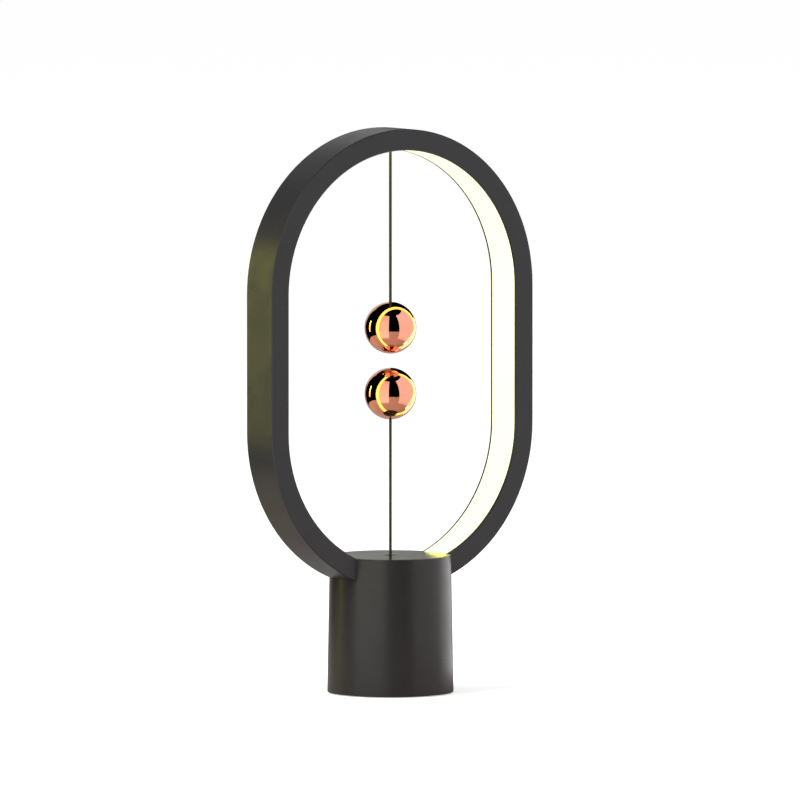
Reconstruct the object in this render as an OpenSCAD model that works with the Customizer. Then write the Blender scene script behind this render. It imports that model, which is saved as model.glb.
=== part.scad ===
// Magnetic balance lamp: a lit oval ring on a round base, with two magnetic balls on cords.
// Lifting the lower ball to the upper one tightens its cord, which pulls a switch in the base.
// The ring stands in the XZ plane and the front faces -Y. Z = 0 is the surface the lamp stands on.

/* [Light ring] */
// Width of the ring over its outside
ring_w = 136.5; // [124:0.5:150]
// Length of the ring's straight sides
ring_leg = 58.7; // [45:0.1:75]
// Thickness of the ring, as seen from the front
ring_t = 9; // [8.4:0.1:10.5]
// Depth of the ring, front to back
ring_d = 18.4; // [17:0.1:20]
// Wall of the ring's two mouldings
ring_wall = 1.2; // [1:0.1:1.5]
// Thickness of the diffuser strip
diffuser_t = 1.5; // [1.3:0.1:1.8]
// How far the ring's lowest point lies below the base's top
ring_sink = 13.8; // [12.5:0.1:15]
// Small bevel along the ring's edges
ring_edge = 0.3; // [0.1:0.05:0.4]

/* [Lights] */
// Width of the flexible light strip
strip_w = 8; // [6:0.5:10]
// Thickness of the flexible light strip
strip_t = 0.25; // [0.15:0.05:0.4]
// Lamps on the strip
led_count = 39; // [15:2:45]
// One lamp: across the strip, along it, and its height
led_size = [2.8, 3.5, 0.7];
// One strip resistor: across the strip, along it, and its height
resistor_size = [1.6, 3.2, 0.5];

/* [Base] */
// Diameter of the base at its top
base_top_d = 51.5; // [50:0.1:54]
// Diameter of the base at its foot
base_foot_d = 53.7; // [53:0.1:58]
// Height of the base
base_h = 58.5; // [57:0.5:66]
// Wall of the base housing
base_wall = 2; // [1.6:0.1:2.4]
// Thickness of the top cap
cap_t = 2; // [1.6:0.1:2.2]
// Thickness of the deck that carries the ring
deck_t = 2; // [1.8:0.1:2.6]
// Thickness of the cheeks beside the ring
cheek_t = 1.6; // [1.2:0.1:2]
// Thickness of the bottom cover
cover_t = 2.6; // [2.2:0.1:3]
// Thickness of the foot pad
pad_t = 1; // [0.8:0.1:1.2]
// How far the foot pad stands out below the base
pad_proud = 0.4; // [0.2:0.1:0.5]
// Thickness of the steel weight
weight_t = 10; // [6:0.5:10.5]
// Radius of the steel weight
weight_r = 18.6; // [14:0.1:18.8]

/* [Balls] */
// Diameter of each ball
ball_d = 22; // [20:0.5:24]
// Wall of the ball's spun halves
ball_wall = 1; // [0.8:0.1:1.2]
// Gap that the two balls keep between them
ball_gap = 6; // [4.5:0.5:10]
// Height of the middle of that gap above the base's top
float_h = 82.7; // [72:0.1:92]
// Diameter of the disc magnets
magnet_d = 12; // [9:0.5:12.5]
// Thickness of the disc magnets
magnet_t = 4; // [3:0.5:4.5]

/* [Cord] */
// Diameter of the braided cord
cord_d = 1.25; // [1:0.05:1.4]
// Diameter of the knots at its ends
knot_d = 3.2; // [2.8:0.1:3.4]

/* [Pull switch] */
// How far the cord pulls the slider when the balls hold each other
pull_travel = 1.5; // [0.8:0.1:1.6]
// Length of the return spring while the lamp is on
spring_len = 5.5; // [4.5:0.1:6]
// Mean radius of the return spring
spring_r = 2.4; // [2.3:0.05:2.6]
// Wire diameter of the return spring
spring_wire = 0.5; // [0.3:0.05:0.6]
// Turns of the return spring
spring_turns = 5; // [4:1:6]
// Slider body: width, depth and height
slider_size = [8, 7.2, 6.5];
// Switch case: length, width and height
case_size = [12.8, 5.8, 6.5];

/* [Power] */
// Height of the circuit board's underside
board_z = 17; // [16.5:0.1:18]
// Radius of the circuit board
board_r = 21; // [20:0.1:22]
// Thickness of the circuit board
board_t = 1.6; // [1:0.1:1.8]
// Micro USB socket: width, length and height
socket_size = [7.5, 5.3, 2.5];
// Opening for the plug in the back of the base: width and height
port_size = [12, 8];
// Corner radius of that opening
port_r = 1.5; // [1:0.1:2.5]

/* [Fits] */
// Clearance between pieces that lie against each other
fit = 0.05; // [0.03:0.01:0.08]
// Clearance of sliding and turning pieces
slip = 0.1; // [0.06:0.01:0.12]

/* [Hidden] */
$fn = 96;
far = 400;                                   // longer than anything that it cuts

// The ring: outer and inner radius of its half circles, and the heights of their centres.
ring_ro = ring_w / 2;
ring_ri = ring_ro - ring_t;
half_d = ring_d / 2;
deck_top = base_h - ring_sink;
deck_z = deck_top - deck_t;
low_z = deck_top + ring_ro;
high_z = low_z + ring_leg;
cap_z = base_h - cap_t;

// The ring's section: the diffuser lies in grooves, and the cover on a ledge.
face_back = 0.1;                             // the diffuser's face lies this far behind the walls' edges
diff_ri = ring_ri + face_back;
diff_ro = diff_ri + diffuser_t;
tongue_t = 0.8;
groove_deep = 0.6;
tongue_out = groove_deep - slip;
ledge = [1, 1.2];                            // how far the ledge stands in, and how thick it is
rib = [1, 2.2];                              // the same for the cover's locating rib
wall_in = half_d - ring_wall;                // inner face of the front wall and the cover

// Where open pieces of the ring end, in degrees from its lowest point.
diffuser_end = acos((low_z - cap_z) / ring_ri) - 1.5;
strip_end = 20;
first_led = acos((low_z - base_h) / ring_ri) + 1.5;
strip_ro = ring_ro - ring_wall;
led_r = strip_ro - strip_t;

// Cords, their pivots and eyelets.
cord_r = cord_d / 2;
knot_r = knot_d / 2;
throat_r = cord_r + 0.125;
mouth_r = 1;                                 // rounding of an eyelet's mouth
lean_gap = 0.45;                             // a leaning cord turns this far outside the eyelet's mouth
bend_gap = 0.03;
eyelet_r = 2;
flange = [3, 0.5];                           // radius and thickness of an eyelet's flange
low_pivot = base_h + lean_gap + pull_travel;
high_face = high_z + diff_ri;
high_pivot = high_face - lean_gap;
cord_start = cord_r + bend_gap;

// Balls.
ball_r = ball_d / 2;
gap_z = base_h + float_h;
low_ball_z = gap_z - ball_gap / 2 - ball_r;
high_ball_z = gap_z + ball_gap / 2 + ball_r;
shell_ri = ball_r - ball_wall;
washer = [2.4, 0.8];                         // radius and thickness of the washer under the knot
washer_z = sqrt(shell_ri * shell_ri - washer[0] * washer[0]) - washer[1] - fit;
ball_knot_z = washer_z - knot_r - fit;
cup_wall = 1.3;
magnet_r = magnet_d / 2;
magnet_z = -sqrt(pow(shell_ri - 0.6, 2) - pow(magnet_r, 2)) - fit;
lip = [0.5, 1.2];                            // wall and height of the joint's lip

// The upper anchor.
anchor_w = 10;
anchor_h = 3.4;
anchor_z = high_z + diff_ro;
anchor_seat = 0.9;
high_knot_z = anchor_z + anchor_seat + knot_r + fit;

// Base.
function base_r(z) = base_foot_d / 2 - (base_foot_d - base_top_d) / 2 * z / base_h;
well_r = base_top_d / 2 - base_wall;
base_edge = 0.25;
floor_z = pad_proud + cover_t;
cover_r = base_r(pad_proud) - base_wall - slip;
pad_rim = 3.35;                              // how far the pad's edge lies inside the foot's
pad_w = 8.5;
pad_r = [base_foot_d / 2 - pad_rim - pad_w, base_foot_d / 2 - pad_rim];
wire_hole_r = 2.2;                           // for the strip's two wires
cord_hole_r = 1.5;                           // for the cord, under the ring

// Screws: [shank radius, length, head radius, head height].
m2 = [0.8, 7.5, 1.9, 1.3];
m2_short = [0.8, 3.2, 1.9, 1.3];
m2_board = [0.8, 5, 1.9, 1.3];
m16 = [0.65, case_size[1] + 1.2, 1.4, 0.9];
m25 = [1, 7, 2.1, 0.9];
m3 = [1.2, 4, 2.5, 1.4];
hole_gap = 0.3;
cap_screw_y = 17;
bracket_screw_y = 9.5;
cover_screw_in = 5.25;                       // how far the cover's screws lie inside the foot's edge
cover_screw_r = base_foot_d / 2 - cover_screw_in;
cover_screw_a = [45:90:315];                 // where the cover's screws are, in degrees
frame_boss = [2.4, 7];                       // radius, and height over the deck
cap_boss_r = 2.5;
cover_boss = [2.5, 14];                      // radius, and the height that the bosses reach
post_r = 2.5;
post_in = 10.85;                             // how far the posts lie inside the foot's edge
posts = [for (a = [-90, 30, 150]) (base_foot_d / 2 - post_in) * [cos(a), sin(a)]];
weight_screw_x = 10;
weight_screw_y = -6;
weight_screws = [for (side = [-1, 1]) [side * weight_screw_x, weight_screw_y]];
weight_seat = floor_z + fit + 2.5;           // where the heads of the weight's screws lie

// The pull switch, from the deck down.
slider_top = deck_z - spring_len;
slider_z = slider_top - slider_size[2];
stop_r = [1.2, 1.65];                        // bore and outside of the stop under the deck
pocket = [knot_r + 0.4, 3.4];
tail_knot_z = slider_z + pocket[1] - knot_r - fit;
bracket_wall = 1.2;
bracket_in = [slider_size[0] / 2 + slip, slider_size[1] / 2 + slip];
bracket_floor = slider_z - pull_travel - fit;
ear_t = 1.6;
ear_y = bracket_screw_y + 2.6;
wing_t = 1.2;
case_gap = 2.7;                              // between the guide tube and the switch case
case_x = bracket_in[0] + bracket_wall + case_gap;
tag_h = 2.2;                                 // height of the switch's soldering tags
tag_size = [0.5, 3.2];
tag_pitch = 5.1;
case_z = deck_z - tag_h - 2 * slip - case_size[2];
case_mid = case_x + case_size[0] / 2;
frame_screw_x = case_mid - tag_pitch / 2;    // the ring's screws lie between two of the tags
lever_pivot = [case_mid + 4.2, case_z - 0.8];
lever_arm = 10.2;
lever_t = 0.3;
lever_w = 3.8;
pin_r = 0.35;
pin_out = 0.7;                               // how far the pin stands out of the lever, each side
plunger_r = 0.6;
plunger_in = 1.9;                            // how far the plunger reaches into the case
plunger_x = lever_pivot[0] - 3;
finger_lap = 1.4;                            // how far the slider's finger reaches under the lever
finger = [lever_pivot[0] - lever_arm + finger_lap, 3, 2]; // its reach in X, its width and thickness
finger_top = lever_pivot[1] - lever_t / 2 - fit;
hole_pitch = 6.5;
case_holes = [case_mid - hole_pitch / 2, case_mid + hole_pitch / 2];
case_hole_z = case_z + 1.5;
wing_rim = [2.15, 1.6];                      // of the bracket's wing, past and under its holes

// Circuit board.
board_top = board_z + board_t;
socket_y = base_r(board_z) - base_wall - 1.5;   // the socket's mouth
port_z = board_top + socket_size[2] / 2;
contact_bar = [3.8, 0.6];                    // width and thickness of the socket's tongue
chip = [4.9, 3.9, 1.5];
chip_at = [6.45, 3.45];
chip_pin = [0.4, 0.9, 0.5];
chip_pitch = 1.27;
inductor = [6, 0.6, 2.8, 2.9];               // side and thickness of its foot, its radius and height
inductor_at = [-5.5, -6];
can = [5.2, 0.8, 2.5, 5.2];                  // the same of a capacitor
cans_at = [[5.5, -10], [-7, 9]];
chip_resistor = [1.25, 2, 0.5];
resistors_at = [-2.5, 10.5];
resistor_pitch = 3;
wire_r = 0.6;
wire_x = 17;
wire_gap = 0.9;
led_plug = [-15.5, 0];
switch_plug = [14.5, -8];
plug_size = [4, 6, 4];
plug_top = board_top + plug_size[2];

// The points of a bend that leaves `from` along `out` and reaches `to` along `in`, without its first.
function bend(from, out, in, to, steps) = [
    for (i = [1:steps])
        let (t = i / steps, s = 1 - t)
            s * s * s * from + 3 * s * s * t * (from + out) + 3 * s * t * t * (to - in) + t * t * t * to
];

// The strip's wires run on from its end, turn down into their hole, and end in their plug.
wire_track = led_r - wire_r - fit;
wire_bend = 2.9;                             // how far before the hole they begin to turn down
wire_plumb = 7;                              // where they leave the vertical, above their plug
wire_lap = 1.4;                              // how far they lie on the strip's end, in degrees
wire_turn = asin((wire_x + wire_bend) / wire_track);
function on_track(a) = [-wire_track * sin(a), 0, low_z - wire_track * cos(a)];
wire_drop = [-wire_x, 0, deck_top + ring_wall];
led_route = concat(
    [for (i = [0:3]) on_track(strip_end + wire_lap - (strip_end + wire_lap - wire_turn) * i / 3)],
    bend(on_track(wire_turn), 0.75 * wire_bend * [cos(wire_turn), 0, -sin(wire_turn)],
         [0, 0, -0.8 * wire_bend], wire_drop, 5),
    [[-wire_x, 0, (wire_drop[2] + plug_top) / 2], [-wire_x, 0, plug_top + wire_plumb]],
    bend([-wire_x, 0, plug_top + wire_plumb], [0, 0, -wire_bend], [0, 0, -wire_bend],
         [led_plug[0], led_plug[1], plug_top], 5)
);

// The switch's wires leave the middle tag (0) and the far one (1) sideways, and drop to their plug.
switch_drop = 12;
function switch_route(i) =
    let (from = [case_mid + i * tag_pitch, -tag_size[1] / 2 - fit, case_z + case_size[2] + tag_h / 2],
         to = [switch_plug[0] + (2 * i - 1) * wire_gap, switch_plug[1], plug_top])
        concat([from], bend(from, [0, switch_plug[1] - from[1], 0], [0, 0, -switch_drop], to, 9));

// ---------- Shapes that repeat ----------

// Part of a half circle of the ring. The angle runs from +X (0) down through -Z (90) to -X (180).
module ring_arc(z, from, to) {
    translate([0, 0, z])
        rotate([-90, 0, 0])
            rotate([0, 0, from])
                rotate_extrude(angle = to - from)
                    children();
}

// The section in children() carried round the ring, left open for `open` degrees
// either side of its lowest point. The section's X is the radius, and its Y is the depth.
module ring_sweep(open = 0) {
    ring_arc(high_z, 180, 360) children();
    for (side = [0, 1])
        mirror([side, 0, 0]) {
            translate([0, 0, low_z])
                linear_extrude(height = ring_leg)
                    children();
            if (open > 0)
                ring_arc(low_z, 0, 90 - open) children();
        }
    if (open == 0)
        ring_arc(low_z, 0, 180) children();
}

// A cylinder along Y, round the centre of the ring's lower half circle.
module low_drum(r, depth = far) {
    translate([0, 0, low_z])
        rotate([90, 0, 0])
            cylinder(h = depth, r = r, center = true);
}

// A screw with its head down at z = 0 and its shank pointing up.
module screw(s) {
    slot = [s[2] * 1.2, 0.4, s[3] * 0.6];
    difference() {
        union() {
            translate([0, 0, -s[3]]) cylinder(h = s[3], r = s[2]);
            cylinder(h = s[1], r = s[0]);
        }
        for (turn = [0, 90])
            translate([0, 0, -s[3]])
                rotate([0, 0, turn])
                    cube([slot[0], slot[1], slot[2] * 2], center = true);
    }
}

// A round bar along Z between two heights.
module bar(r, from, to) {
    translate([0, 0, from]) cylinder(h = to - from, r = r);
}

// A tube along Z between two heights.
module tube(r_out, r_in, from, to) {
    difference() {
        bar(r_out, from, to);
        bar(r_in, from - 1, to + 1);
    }
}

// A rounded rectangle along Y, centred on the origin.
module rounded_bar(w, h, r, depth) {
    cube([w - 2 * r, depth, h], center = true);
    cube([w, depth, h - 2 * r], center = true);
    for (x = [-1, 1], z = [-1, 1])
        translate([x * (w / 2 - r), 0, z * (h / 2 - r)])
            rotate([90, 0, 0])
                cylinder(h = depth, r = r, center = true);
}

function unit(v) = v / norm(v);

// The direction of a route at its point i.
function heading(route, i) =
    unit(route[min(i + 1, len(route) - 1)] - route[max(i - 1, 0)]);

// A tube of the given radius along a route that bends mainly in one plane, whose normal is `side`.
module wire(route, r, side = [0, 1, 0], sides = 8) {
    rings = len(route);
    points = [
        for (i = [0:rings - 1], k = [0:sides - 1])
            let (u = unit(side - (side * heading(route, i)) * heading(route, i)),
                 v = cross(heading(route, i), u),
                 a = 360 * (k + 0.5) / sides)
                route[i] + r * (cos(a) * u + sin(a) * v)
    ];
    walls = [
        for (i = [0:rings - 2], k = [0:sides - 1])
            let (a = i * sides + k, b = i * sides + (k + 1) % sides)
                [a, a + sides, b + sides, b]
    ];
    ends = [
        [for (k = [0:sides - 1]) k],
        [for (k = [sides - 1:-1:0]) (rings - 1) * sides + k],
    ];
    polyhedron(points = points, faces = concat(walls, ends), convexity = 6);
}

// A coil spring along Z, from z = 0 up.
module coil(r, wire_d, turns, height, steps = 14, sides = 6) {
    rise = height - wire_d;
    count = turns * steps;
    route = [
        for (i = [0:count])
            let (a = 360 * i / steps)
                [r * cos(a), r * sin(a), wire_d / 2 + rise * i / count]
    ];
    wire(route, wire_d / 2, [0, 0, 1], sides);
}

// ---------- The light ring ----------

// Outer wall and front wall, with the cover's ledge and the diffuser's groove.
module shell_section() {
    polygon([
        [ring_ro - ring_edge, -half_d], [ring_ro, -half_d + ring_edge],
        [ring_ro, half_d - ring_edge], [ring_ro - ring_edge, half_d], [ring_ro - ring_wall, half_d],
        [ring_ro - ring_wall, wall_in], [ring_ro - ring_wall - ledge[0], wall_in],
        [ring_ro - ring_wall - ledge[0], wall_in - ledge[1]], [ring_ro - ring_wall, wall_in - ledge[1]],
        [ring_ro - ring_wall, -wall_in],
        [diff_ro + fit, -wall_in], [diff_ro + fit, -wall_in - groove_deep],
        [diff_ro - tongue_t - fit, -wall_in - groove_deep], [diff_ro - tongue_t - fit, -wall_in],
        [ring_ri, -wall_in], [ring_ri, -half_d + ring_edge], [ring_ri + ring_edge, -half_d],
    ]);
}

module frame_shell() {
    color([0.235, 0.23, 0.225])
        difference() {
            union() {
                ring_sweep() shell_section();
                for (side = [-1, 1])
                    intersection() {
                        translate([side * frame_screw_x, 0, 0])
                            bar(frame_boss[0], deck_top, deck_top + frame_boss[1]);
                        low_drum(ring_ro - ring_wall / 2);
                    }
            }
            for (side = [-1, 1])
                translate([side * frame_screw_x, 0, 0]) bar(m2[0] + fit, deck_z, deck_z + m2[1] + 0.6);
            bar(cord_hole_r, deck_z, deck_top + ring_wall * 2);
            translate([-wire_x, 0, 0]) bar(wire_hole_r, deck_z, deck_top + ring_t);
        }
}

// The flat back of the ring. Its rib lies inside the shell's ledge.
module cover_section() {
    rib_r = ring_ro - ring_wall - ledge[0] - fit;
    polygon([
        [ring_ri + ring_edge, half_d], [ring_ri, half_d - ring_edge], [ring_ri, wall_in],
        [diff_ro - tongue_t - fit, wall_in], [diff_ro - tongue_t - fit, wall_in + groove_deep],
        [diff_ro + fit, wall_in + groove_deep], [diff_ro + fit, wall_in],
        [rib_r - rib[0], wall_in], [rib_r - rib[0], wall_in - rib[1]], [rib_r, wall_in - rib[1]],
        [rib_r, wall_in], [ring_ro - ring_wall - fit, wall_in], [ring_ro - ring_wall - fit, half_d],
    ]);
}

module frame_back_cover() {
    color([0.22, 0.215, 0.21])
        ring_sweep() cover_section();
}

// The strip that glows: a flat band with a tongue along each side.
module diffuser_section() {
    side = wall_in - fit;
    tip = wall_in + tongue_out;
    polygon([
        [diff_ri, -side], [diff_ri, side], [diff_ro - tongue_t, side], [diff_ro - tongue_t, tip],
        [diff_ro, tip], [diff_ro, -tip], [diff_ro - tongue_t, -tip], [diff_ro - tongue_t, -side],
    ]);
}

module light_diffuser() {
    color([0.99, 0.98, 0.9])
        difference() {
            ring_sweep(diffuser_end) diffuser_section();
            bar(eyelet_r + fit, high_face - 2, high_face + diffuser_t + 1);
            bar(flange[0] + fit, high_face - 2, high_face + flange[1] + fit);
        }
}

module led_strip() {
    color([0.93, 0.93, 0.9])
        ring_sweep(strip_end)
            translate([strip_ro - strip_t / 2 - fit, 0])
                square([strip_t, strip_w], center = true);
}

// Length of the lamps' path from the lowest point's first lamp to the straight side, then to the top.
led_low = led_r * (90 - first_led) * PI / 180;
led_high = led_r * 90 * PI / 180;
led_path = 2 * (led_low + ring_leg + led_high);

// Puts children(), whose top faces +Z, on the strip at a distance s from the right-hand end.
module on_strip(s) {
    a = s <= led_path / 2 ? s : led_path - s;
    side = s <= led_path / 2 ? 0 : 1;
    mirror([side, 0, 0])
        if (a < led_low)
            translate([0, 0, low_z])
                rotate([0, 90 - (first_led - 90 + a / led_r * 180 / PI) - 90, 0])
                    translate([led_r - fit, 0, 0]) rotate([0, -90, 0]) children();
        else if (a < led_low + ring_leg)
            translate([led_r - fit, 0, low_z + a - led_low]) rotate([0, -90, 0]) children();
        else
            translate([0, 0, high_z])
                rotate([0, -(a - led_low - ring_leg) / led_r * 180 / PI, 0])
                    translate([led_r - fit, 0, 0]) rotate([0, -90, 0]) children();
}

led_pitch = led_path / (led_count - 1);

module led_chips() {
    color([0.98, 0.93, 0.6])
        for (i = [0:led_count - 1])
            on_strip(i * led_pitch)
                translate([-led_size[1] / 2, -led_size[0] / 2, fit])
                    cube([led_size[1], led_size[0], led_size[2]]);
}

module led_resistors() {
    color([0.15, 0.15, 0.16])
        for (i = [1:3:led_count - 2])
            on_strip((i + 0.5) * led_pitch)
                translate([-resistor_size[1] / 2, 1, fit])
                    cube([resistor_size[1], resistor_size[0], resistor_size[2]]);
}

// ---------- Cords, eyelets and balls ----------

// A flush eyelet whose mouth is at z = 0 and faces up, with a rounded mouth for the cord.
module eyelet(depth) {
    rotate_extrude()
        difference() {
            union() {
                translate([throat_r, -depth]) square([eyelet_r - throat_r, depth]);
                translate([throat_r, -flange[1]]) square([flange[0] - throat_r, flange[1]]);
            }
            difference() {
                translate([throat_r - 1, -mouth_r]) square([1 + mouth_r, mouth_r + 1]);
                translate([throat_r + mouth_r, -mouth_r]) circle(r = mouth_r);
            }
        }
}

module upper_eyelet() {
    color([0.72, 0.68, 0.55])
        translate([0, 0, high_face]) rotate([180, 0, 0]) eyelet(diffuser_t);
}

module lower_eyelet() {
    color([0.16, 0.155, 0.15])
        translate([0, 0, base_h]) eyelet(cap_t + 0.6);
}

// The block over the diffuser on which the upper cord's knot rests.
module cord_anchor() {
    color([0.88, 0.88, 0.85])
        difference() {
            translate([-anchor_w / 2, -wall_in + fit, anchor_z - 1])
                cube([anchor_w, 2 * (wall_in - fit), anchor_h + 1]);
            translate([0, 0, high_z])
                rotate([90, 0, 0]) cylinder(h = far, r = diff_ro + fit, center = true);
            bar(throat_r, anchor_z - 2, anchor_z + anchor_h + 1);
            bar(knot_r + slip, anchor_z + anchor_seat, anchor_z + anchor_h + 1);
        }
}

module upper_cord_stub() {
    color([0.235, 0.235, 0.165]) {
        bar(cord_r, high_pivot + cord_start, high_knot_z);
        translate([0, 0, high_knot_z]) sphere(r = knot_r);
    }
}

module cord_bend(z) {
    color([0.235, 0.235, 0.165])
        translate([0, 0, z]) sphere(r = cord_r);
}

module upper_cord() {
    color([0.235, 0.235, 0.165]) {
        bar(cord_r, high_ball_z + ball_knot_z, high_pivot - cord_start);
        translate([0, 0, high_ball_z + ball_knot_z]) sphere(r = knot_r);
    }
}

module lower_cord() {
    color([0.235, 0.235, 0.165]) {
        bar(cord_r, low_pivot + cord_start, low_ball_z - ball_knot_z);
        translate([0, 0, low_ball_z - ball_knot_z]) sphere(r = knot_r);
    }
}

// The half of a ball that the cord enters, at its pole on +Z. Its lip fits inside the other half.
module cord_half() {
    lip_r = sqrt(shell_ri * shell_ri - lip[1] * lip[1]) - fit;
    color([0.93, 0.56, 0.46])
        difference() {
            union() {
                difference() {
                    sphere(r = ball_r);
                    sphere(r = shell_ri);
                    translate([0, 0, -ball_d]) cube(2 * ball_d, center = true);
                }
                intersection() {
                    tube(lip_r, lip_r - lip[0], -lip[1], 3);
                    sphere(r = shell_ri + ball_wall / 2);
                }
            }
            bar(throat_r, 0, ball_d);
            translate([0, 0, ball_r - 0.4]) cylinder(h = 0.8, r1 = throat_r, r2 = throat_r + 0.8);
        }
}

// The half that faces the other ball.
module magnet_half() {
    color([0.93, 0.56, 0.46])
        difference() {
            sphere(r = ball_r);
            sphere(r = shell_ri);
            translate([0, 0, ball_d]) cube(2 * ball_d, center = true);
        }
}

module knot_washer() {
    color([0.75, 0.7, 0.5])
        tube(washer[0], throat_r, washer_z, washer_z + washer[1]);
}

module disc_magnet() {
    color([0.7, 0.71, 0.73])
        bar(magnet_r, magnet_z + fit, magnet_z + fit + magnet_t);
}

// The cup that holds the magnet against the wall that faces the other ball.
module magnet_cup() {
    color([0.85, 0.85, 0.82])
        difference() {
            intersection() {
                sphere(r = shell_ri - fit);
                bar(magnet_r + fit + cup_wall, -ball_r, magnet_z + magnet_t + 0.5);
            }
            bar(magnet_r + fit, magnet_z, ball_r);
        }
}

module in_upper_ball() {
    translate([0, 0, high_ball_z]) children();
}

module in_lower_ball() {
    translate([0, 0, low_ball_z]) rotate([180, 0, 0]) children();
}

// ---------- Base ----------

// What the ring takes up in the base, with its clearance.
module ring_envelope() {
    intersection() {
        low_drum(ring_ro + fit, ring_d + 2 * fit);
        bar(far, deck_top - 1, far);
    }
}

module base_outside() {
    rotate_extrude()
        polygon([
            [0, pad_proud], [base_r(pad_proud) - base_edge, pad_proud],
            [base_r(pad_proud + base_edge), pad_proud + base_edge],
            [base_r(base_h - base_edge), base_h - base_edge], [base_r(base_h) - base_edge, base_h],
            [0, base_h],
        ]);
}

// The space under the deck, open at the foot, made wider by `more` for what grows into the wall.
module lower_hollow(more = 0) {
    inner = more - base_wall;
    translate([0, 0, -1])
        cylinder(h = deck_z + 1, r1 = base_r(-1) + inner, r2 = base_r(deck_z) + inner);
}

// The well above the deck, less the cradle and cheeks that hold the ring.
module upper_hollow() {
    difference() {
        bar(well_r, deck_top, base_h + 1);
        translate([-far / 2, -half_d - fit - cheek_t, deck_top - 1])
            cube([far, 2 * (half_d + fit + cheek_t), cap_z - fit - deck_top + 1]);
    }
}

// Bosses for the cover's screws, each with a web to the wall.
module cover_bosses() {
    intersection() {
        for (a = cover_screw_a)
            rotate([0, 0, a])
                translate([cover_screw_r, 0, 0]) {
                    bar(cover_boss[0], floor_z + fit, cover_boss[1]);
                    translate([0, -cover_boss[0] / 2, floor_z + fit])
                        cube([base_foot_d, cover_boss[0], cover_boss[1] - floor_z - fit]);
                }
        lower_hollow(base_wall / 2);
    }
}

module base_housing() {
    color([0.25, 0.245, 0.24])
        difference() {
            union() {
                difference() {
                    base_outside();
                    lower_hollow();
                    upper_hollow();
                    bar(well_r, cap_z - fit, base_h + 1);
                }
                cover_bosses();
                tube(stop_r[1], stop_r[0], slider_top + fit, deck_z + deck_t / 2);
            }
            ring_envelope();
            bar(stop_r[0], deck_z - 1, deck_top + 1);
            translate([-wire_x, 0, 0]) bar(wire_hole_r, deck_z - 1, deck_top + 8);
            for (side = [-1, 1]) {
                translate([side * frame_screw_x, 0, 0]) bar(m2[0] + hole_gap, deck_z - 1, cap_z);
                translate([0, side * cap_screw_y, 0]) bar(m2[0] + hole_gap, deck_z - 1, deck_top + 1);
                translate([0, side * bracket_screw_y, 0])
                    bar(m2_short[0] + fit, deck_z - 1, deck_z + m2_short[1] - ear_t + 0.1);
            }
            for (a = cover_screw_a)
                rotate([0, 0, a])
                    translate([cover_screw_r, 0, 0]) bar(m25[0] + fit, 0, cover_boss[1] - 2);
            translate([0, base_foot_d / 2, port_z])
                rounded_bar(port_size[0], port_size[1], port_r, 2 * base_wall + 5);
        }
}

module base_cap() {
    color([0.25, 0.245, 0.24])
        difference() {
            union() {
                bar(well_r - fit, cap_z, base_h);
                for (side = [-1, 1])
                    translate([0, side * cap_screw_y, 0]) bar(cap_boss_r, deck_top + fit, cap_z + fit);
            }
            difference() {
                translate([0, 0, base_h])
                    cube([far, ring_d + 2 * fit, 4 * ring_sink], center = true);
                low_drum(ring_ri - fit);
            }
            bar(eyelet_r + fit, cap_z - 1, base_h + 1);
            bar(flange[0] + fit, base_h - flange[1] - fit, base_h + 1);
            for (side = [-1, 1])
                translate([0, side * cap_screw_y, 0]) bar(m2[0] + fit, deck_top, deck_z + m2[1] + 0.5);
        }
}

module frame_screws() {
    color([0.6, 0.6, 0.62])
        for (side = [-1, 1])
            translate([side * frame_screw_x, 0, deck_z]) screw(m2);
}

module cap_screws() {
    color([0.6, 0.6, 0.62])
        for (side = [-1, 1])
            translate([0, side * cap_screw_y, deck_z]) screw(m2);
}

// ---------- Pull switch ----------

module pull_slider() {
    color([0.85, 0.83, 0.76])
        difference() {
            union() {
                translate([-slider_size[0] / 2, -slider_size[1] / 2, slider_z])
                    cube([slider_size[0], slider_size[1], slider_size[2]]);
                translate([0, -finger[1] / 2, finger_top - finger[2]])
                    cube([finger[0], finger[1], finger[2]]);
            }
            bar(throat_r, slider_z, slider_top + 1);
            bar(pocket[0], slider_z - 1, slider_z + pocket[1]);
        }
}

module lower_cord_tail() {
    color([0.235, 0.235, 0.165]) {
        bar(cord_r, tail_knot_z, low_pivot - cord_start);
        translate([0, 0, tail_knot_z]) sphere(r = knot_r);
    }
}

module return_spring() {
    color([0.7, 0.71, 0.73])
        translate([0, 0, slider_top + fit])
            coil(spring_r, spring_wire, spring_turns, spring_len - 2 * fit);
}

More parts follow.
